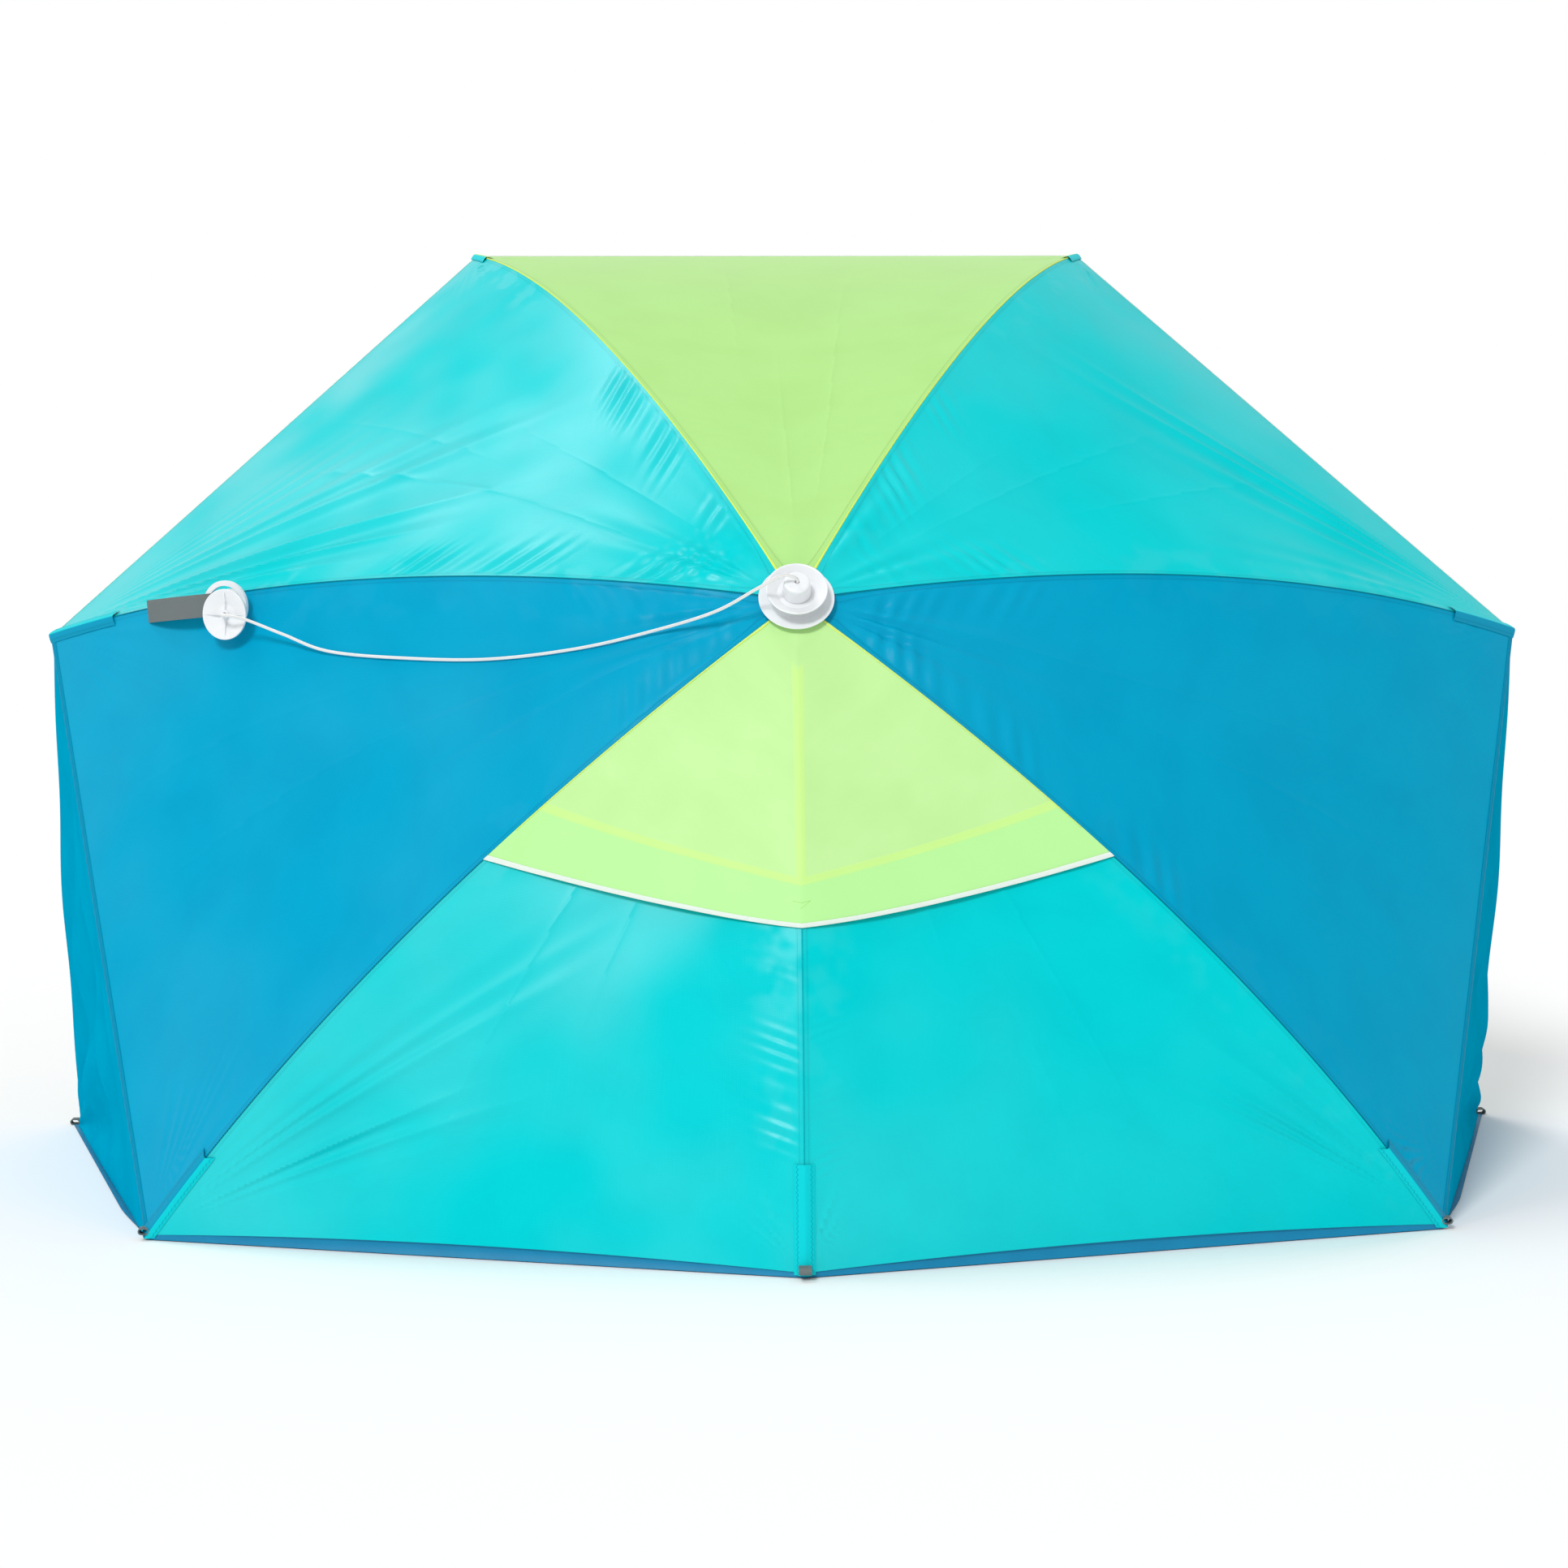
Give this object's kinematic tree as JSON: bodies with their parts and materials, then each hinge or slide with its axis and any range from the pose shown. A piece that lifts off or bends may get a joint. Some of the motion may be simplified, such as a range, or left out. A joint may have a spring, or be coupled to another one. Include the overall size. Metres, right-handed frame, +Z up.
{
  "type": "beach tent",
  "caption": "Open-fronted beach tent: a seven-sided umbrella canopy tilted on a slanted mast, with side wings, a vent flap, a ground sheet, peg loops and a line winder.",
  "frame": {"origin": "on the ground under the ground sheet, midway between the two rear corner ribs", "axes": "+X to the tent's left as seen from its open front, +Y towards the open front, +Z up"},
  "size_m": [2.1044, 1.3329, 1.2715],
  "materials": {
    "lime_cloth": "silky ripstop",
    "aqua_cloth": "silky ripstop",
    "blue_cloth": "silky ripstop",
    "dark_cloth": "coated, matt",
    "mesh_cloth": "open net",
    "webbing": "woven, matt",
    "white_plastic": "moulded, glossy",
    "steel": "drawn tube, satin",
    "glass_fibre": "fibre rod, satin",
    "cord": "braided, matt"
  },
  "bodies": {
    "frame": {"mast_upper": "steel", "clamp_collar": "white_plastic", "crown": "white_plastic", "crown_wire": "steel", "hub_washer": "white_plastic", "hub_cap": "white_plastic", "hub_knob": "white_plastic", "ground_sheet": "dark_cloth", "peg_loop_front_left": "webbing", "peg_loop_front_right": "webbing", "clothesline": "cord"},
    "lower_mast": {"mast_lower": "steel", "ground_spike": "white_plastic"},
    "clamp_knob": {"clamp_knob": "white_plastic"},
    "runner": {"runner": "white_plastic"},
    "runner_button": {"runner_button": "white_plastic"},
    "rib_rear_centre": {"rib_rear_centre": "glass_fibre", "rear_right_panel_inner": "aqua_cloth", "rear_left_panel_inner": "aqua_cloth", "vent_mesh_centre": "mesh_cloth", "vent_flap_centre": "lime_cloth", "peg_loop_rear_centre": "webbing"},
    "rib_rear_right": {"rib_rear_right": "glass_fibre", "rear_right_panel_outer": "aqua_cloth", "side_right_panel_lower": "blue_cloth", "vent_mesh_right": "mesh_cloth", "vent_flap_right": "lime_cloth", "peg_loop_rear_right": "webbing"},
    "rib_side_right": {"rib_side_right": "glass_fibre", "side_right_panel_upper": "blue_cloth", "shoulder_right_panel_lower": "aqua_cloth"},
    "rib_top_right": {"rib_top_right": "glass_fibre", "shoulder_right_panel_upper": "aqua_cloth", "top_panel_right": "lime_cloth"},
    "rib_top_left": {"rib_top_left": "glass_fibre", "top_panel_left": "lime_cloth", "shoulder_left_panel_upper": "aqua_cloth"},
    "rib_side_left": {"rib_side_left": "glass_fibre", "shoulder_left_panel_lower": "aqua_cloth", "side_left_panel_upper": "blue_cloth", "winder_hook": "white_plastic", "winder_strap": "webbing"},
    "rib_rear_left": {"rib_rear_left": "glass_fibre", "side_left_panel_lower": "blue_cloth", "rear_left_panel_outer": "aqua_cloth", "vent_mesh_left": "mesh_cloth", "vent_flap_left": "lime_cloth", "peg_loop_rear_left": "webbing"},
    "stretcher_rear_centre": {"stretcher_rear_centre": "glass_fibre"},
    "stretcher_rear_right": {"stretcher_rear_right": "glass_fibre"},
    "stretcher_side_right": {"stretcher_side_right": "glass_fibre"},
    "stretcher_top_right": {"stretcher_top_right": "glass_fibre"},
    "stretcher_top_left": {"stretcher_top_left": "glass_fibre"},
    "stretcher_side_left": {"stretcher_side_left": "glass_fibre"},
    "stretcher_rear_left": {"stretcher_rear_left": "glass_fibre"},
    "wing_left_upper": {"wing_left_upper": "blue_cloth"},
    "wing_left_lower": {"wing_left_lower": "blue_cloth"},
    "wing_right_upper": {"wing_right_upper": "blue_cloth"},
    "wing_right_lower": {"wing_right_lower": "blue_cloth"},
    "winder_spool": {"winder_spool": "white_plastic"}
  },
  "joints": [
    {"name": "lower_mast_slide", "type": "slide", "parent": "frame", "child": "lower_mast", "axis": [0, -0.7941, 0.6078], "range_m": [0, 0.3]},
    {"name": "clamp_knob_turn", "type": "hinge", "parent": "frame", "child": "clamp_knob", "pos_m": [0, 0.73846, 0.25711], "axis": [0, 0.6078, 0.7941], "range_deg": [0, 360]},
    {"name": "runner_slide", "type": "slide", "parent": "frame", "child": "runner", "axis": [0, 0.7941, -0.6078], "range_m": [0, 0.612]},
    {"name": "runner_button_push", "type": "slide", "parent": "runner", "child": "runner_button", "axis": [0.3, -0.5798, -0.7575], "range_m": [0, 0.003], "stiffness_N_per_m": 200},
    {"name": "rib_rear_centre_fold", "type": "hinge", "parent": "frame", "child": "rib_rear_centre", "pos_m": [0, 0.03476, 0.77242], "axis": [1, 0, 0], "range_deg": [0, 59.68], "deforming": ["rear_right_panel_inner", "rear_left_panel_inner", "vent_mesh_centre", "vent_flap_centre", "ground_sheet"]},
    {"name": "rib_rear_right_fold", "type": "hinge", "parent": "frame", "child": "rib_rear_right", "pos_m": [0.01446, 0.039, 0.77795], "axis": [0.6235, 0.4752, 0.6208], "range_deg": [0, 59.68], "deforming": ["rear_right_panel_outer", "side_right_panel_lower", "vent_mesh_right", "vent_flap_right"]},
    {"name": "rib_side_right_fold", "type": "hinge", "parent": "frame", "child": "rib_side_right", "pos_m": [0.01804, 0.04851, 0.79038], "axis": [-0.2225, 0.5926, 0.7742], "range_deg": [0, 60.77], "deforming": ["side_right_panel_upper", "shoulder_right_panel_lower"]},
    {"name": "rib_top_right_fold", "type": "hinge", "parent": "frame", "child": "rib_top_right", "pos_m": [0.00803, 0.05614, 0.80034], "axis": [-0.901, 0.2637, 0.3445], "range_deg": [0, 61.87], "deforming": ["shoulder_right_panel_upper", "top_panel_right"]},
    {"name": "rib_top_left_fold", "type": "hinge", "parent": "frame", "child": "rib_top_left", "pos_m": [-0.00803, 0.05614, 0.80034], "axis": [-0.901, -0.2637, -0.3445], "range_deg": [0, 61.87], "deforming": ["top_panel_left", "shoulder_left_panel_upper"]},
    {"name": "rib_side_left_fold", "type": "hinge", "parent": "frame", "child": "rib_side_left", "pos_m": [-0.01804, 0.04851, 0.79038], "axis": [-0.2225, -0.5926, -0.7742], "range_deg": [0, 60.77], "deforming": ["shoulder_left_panel_lower", "side_left_panel_upper", "clothesline"]},
    {"name": "rib_rear_left_fold", "type": "hinge", "parent": "frame", "child": "rib_rear_left", "pos_m": [-0.01446, 0.039, 0.77795], "axis": [0.6235, -0.4752, -0.6208], "range_deg": [0, 59.68], "deforming": ["side_left_panel_lower", "rear_left_panel_outer", "vent_mesh_left", "vent_flap_left"]},
    {"name": "stretcher_rear_centre_turn", "type": "hinge", "parent": "rib_rear_centre", "child": "stretcher_rear_centre", "pos_m": [0, -0.14387, 0.39943], "axis": [1, 0, 0], "range_deg": [-119.56, 0]},
    {"name": "stretcher_rear_right_turn", "type": "hinge", "parent": "rib_rear_right", "child": "stretcher_rear_right", "pos_m": [0.33092, -0.04701, 0.52597], "axis": [0.6235, 0.4752, 0.6208], "range_deg": [-119.56, 0]},
    {"name": "stretcher_side_right_turn", "type": "hinge", "parent": "rib_side_right", "child": "stretcher_side_right", "pos_m": [0.41271, 0.16338, 0.81589], "axis": [-0.2225, 0.5926, 0.7742], "range_deg": [-119.42, 0]},
    {"name": "stretcher_top_right_turn", "type": "hinge", "parent": "rib_top_right", "child": "stretcher_top_right", "pos_m": [0.18369, 0.3302, 1.04993], "axis": [-0.901, 0.2637, 0.3445], "range_deg": [-119.15, 0]},
    {"name": "stretcher_top_left_turn", "type": "hinge", "parent": "rib_top_left", "child": "stretcher_top_left", "pos_m": [-0.18369, 0.3302, 1.04993], "axis": [-0.901, -0.2637, -0.3445], "range_deg": [-119.15, 0]},
    {"name": "stretcher_side_left_turn", "type": "hinge", "parent": "rib_side_left", "child": "stretcher_side_left", "pos_m": [-0.41271, 0.16338, 0.81589], "axis": [-0.2225, -0.5926, -0.7742], "range_deg": [-119.42, 0]},
    {"name": "stretcher_rear_left_turn", "type": "hinge", "parent": "rib_rear_left", "child": "stretcher_rear_left", "pos_m": [-0.33092, -0.04701, 0.52597], "axis": [0.6235, -0.4752, -0.6208], "range_deg": [-119.56, 0]},
    {"name": "wing_left_upper_fold", "type": "hinge", "parent": "rib_side_left", "child": "wing_left_upper", "pos_m": [-1.00377, 0.50071, 0.72759], "axis": [-0.2225, -0.5926, -0.7742], "range_deg": [0, 113.02], "deforming": ["wing_left_upper"]},
    {"name": "wing_left_lower_fold", "type": "hinge", "parent": "rib_rear_left", "child": "wing_left_lower", "pos_m": [-0.8047, 0.00332, 0.01165], "axis": [0.6235, -0.4752, -0.6208], "range_deg": [0, 113.02], "deforming": ["wing_left_lower"]},
    {"name": "wing_right_upper_fold", "type": "hinge", "parent": "rib_side_right", "child": "wing_right_upper", "pos_m": [1.00377, 0.50071, 0.72759], "axis": [-0.2225, 0.5926, 0.7742], "range_deg": [0, 113.02], "deforming": ["wing_right_upper"]},
    {"name": "wing_right_lower_fold", "type": "hinge", "parent": "rib_rear_right", "child": "wing_right_lower", "pos_m": [0.8047, 0.00332, 0.01165], "axis": [0.6235, 0.4752, 0.6208], "range_deg": [0, 113.02], "deforming": ["wing_right_lower"]},
    {"name": "winder_spool_spin", "type": "hinge", "parent": "rib_side_left", "child": "winder_spool", "pos_m": [-0.7359, 0.2599, 0.7686], "axis": [-0.4305, -0.9026, 0], "continuous": true}
  ],
  "couplings": [
    {"joint": "rib_rear_centre_fold", "follows": "runner_slide", "rad_per_m": 1.7015},
    {"joint": "rib_rear_right_fold", "follows": "runner_slide", "rad_per_m": 1.7015},
    {"joint": "rib_side_right_fold", "follows": "runner_slide", "rad_per_m": 1.7325},
    {"joint": "rib_top_right_fold", "follows": "runner_slide", "rad_per_m": 1.7638},
    {"joint": "rib_top_left_fold", "follows": "runner_slide", "rad_per_m": 1.7638},
    {"joint": "rib_side_left_fold", "follows": "runner_slide", "rad_per_m": 1.7325},
    {"joint": "rib_rear_left_fold", "follows": "runner_slide", "rad_per_m": 1.7015},
    {"joint": "stretcher_rear_centre_turn", "follows": "runner_slide", "rad_per_m": -3.4091},
    {"joint": "stretcher_rear_right_turn", "follows": "runner_slide", "rad_per_m": -3.4091},
    {"joint": "stretcher_side_right_turn", "follows": "runner_slide", "rad_per_m": -3.4052},
    {"joint": "stretcher_top_right_turn", "follows": "runner_slide", "rad_per_m": -3.3973},
    {"joint": "stretcher_top_left_turn", "follows": "runner_slide", "rad_per_m": -3.3973},
    {"joint": "stretcher_side_left_turn", "follows": "runner_slide", "rad_per_m": -3.4052},
    {"joint": "stretcher_rear_left_turn", "follows": "runner_slide", "rad_per_m": -3.4091},
    {"joint": "wing_left_upper_fold", "follows": "runner_slide", "rad_per_m": 3.2225},
    {"joint": "wing_left_lower_fold", "follows": "runner_slide", "rad_per_m": 3.2225},
    {"joint": "wing_right_upper_fold", "follows": "runner_slide", "rad_per_m": 3.2225},
    {"joint": "wing_right_lower_fold", "follows": "runner_slide", "rad_per_m": 3.2225}
  ]
}
